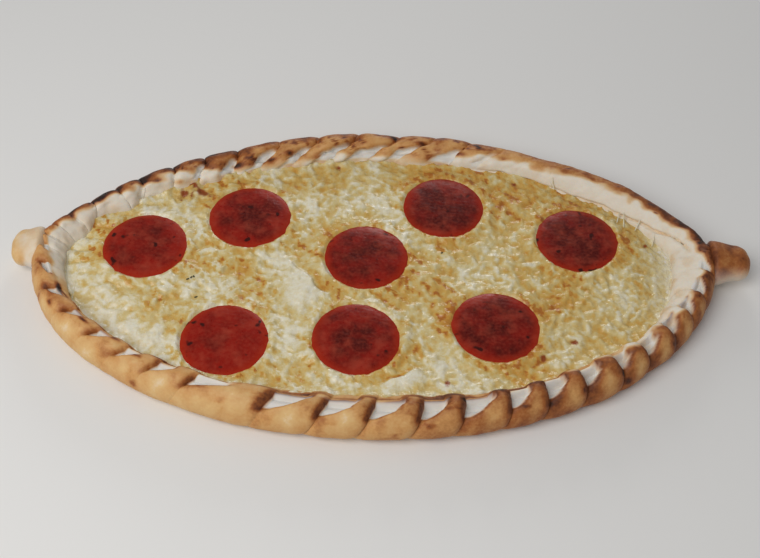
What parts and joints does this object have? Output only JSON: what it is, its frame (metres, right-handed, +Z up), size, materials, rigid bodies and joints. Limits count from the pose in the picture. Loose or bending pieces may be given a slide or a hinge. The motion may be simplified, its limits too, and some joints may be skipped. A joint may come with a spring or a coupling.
{
  "type": "turkish pide",
  "caption": "Boat-shaped baked flatbread with a rope-crimped rim pinched into a knob at each end, filled with melted cheese and topped with round sausage slices.",
  "frame": {"origin": "under the middle of the bounding box, on the surface that the bread rests on", "axes": "+X from knob to knob along the boat, +Y towards the back rim whose right half is rolled smooth, +Z up"},
  "size_m": [0.37, 0.1918, 0.0204],
  "materials": {
    "baked_crust": "matt baked bread dough, browned on the crests and pale in the folds",
    "melted_cheese": "melted and browned cheese, slightly oily",
    "sausage": "baked dry sausage, finely mottled with a faint sheen"
  },
  "bodies": {
    "root": {"crust": "baked_crust", "cheese": "melted_cheese", "slice_1": "sausage", "slice_2": "sausage", "slice_3": "sausage", "slice_4": "sausage", "slice_5": "sausage", "slice_6": "sausage", "slice_7": "sausage", "slice_8": "sausage"}
  },
  "joints": []
}
